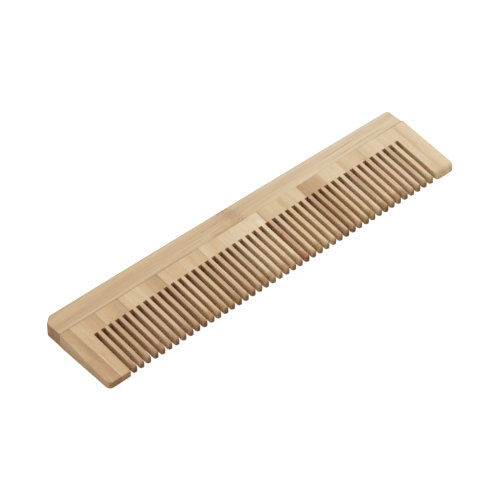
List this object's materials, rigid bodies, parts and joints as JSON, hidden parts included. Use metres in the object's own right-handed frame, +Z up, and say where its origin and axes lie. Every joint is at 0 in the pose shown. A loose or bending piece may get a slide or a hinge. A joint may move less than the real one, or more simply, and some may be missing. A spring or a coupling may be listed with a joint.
{
  "type": "bamboo comb",
  "caption": "Straight hair comb of laminated bamboo: a spine rail glued to a board of narrow strips, with one row of slender round-tipped teeth between two wide end guards.",
  "frame": {"origin": "centre of the footprint, on the flat underside that the comb lies on", "axes": "+X along the comb from the end with the cut corner to the other end, +Y from the teeth to the spine, +Z up out of the upper face"},
  "size_m": [0.18, 0.0414, 0.0069],
  "materials": {
    "bamboo_spine": "sanded, satin",
    "bamboo_strip_01": "sanded, satin",
    "bamboo_strip_02": "sanded, satin",
    "bamboo_strip_03": "sanded, satin",
    "bamboo_strip_04": "sanded, satin",
    "bamboo_strip_05": "sanded, satin",
    "bamboo_strip_06": "sanded, satin",
    "bamboo_strip_07": "sanded, satin",
    "bamboo_strip_08": "sanded, satin",
    "bamboo_strip_09": "sanded, satin",
    "bamboo_strip_10": "sanded, satin",
    "bamboo_strip_11": "sanded, satin",
    "bamboo_strip_12": "sanded, satin",
    "bamboo_strip_13": "sanded, satin",
    "bamboo_strip_14": "sanded, satin",
    "bamboo_strip_15": "sanded, satin",
    "bamboo_strip_16": "sanded, satin",
    "bamboo_strip_17": "sanded, satin",
    "bamboo_strip_18": "sanded, satin"
  },
  "bodies": {
    "root": {"spine": "bamboo_spine", "strip_01": "bamboo_strip_01", "strip_02": "bamboo_strip_02", "strip_03": "bamboo_strip_03", "strip_04": "bamboo_strip_04", "strip_05": "bamboo_strip_05", "strip_06": "bamboo_strip_06", "strip_07": "bamboo_strip_07", "strip_08": "bamboo_strip_08", "strip_09": "bamboo_strip_09", "strip_10": "bamboo_strip_10", "strip_11": "bamboo_strip_11", "strip_12": "bamboo_strip_12", "strip_13": "bamboo_strip_13", "strip_14": "bamboo_strip_14", "strip_15": "bamboo_strip_15", "strip_16": "bamboo_strip_16", "strip_17": "bamboo_strip_17", "strip_18": "bamboo_strip_18"}
  },
  "joints": []
}
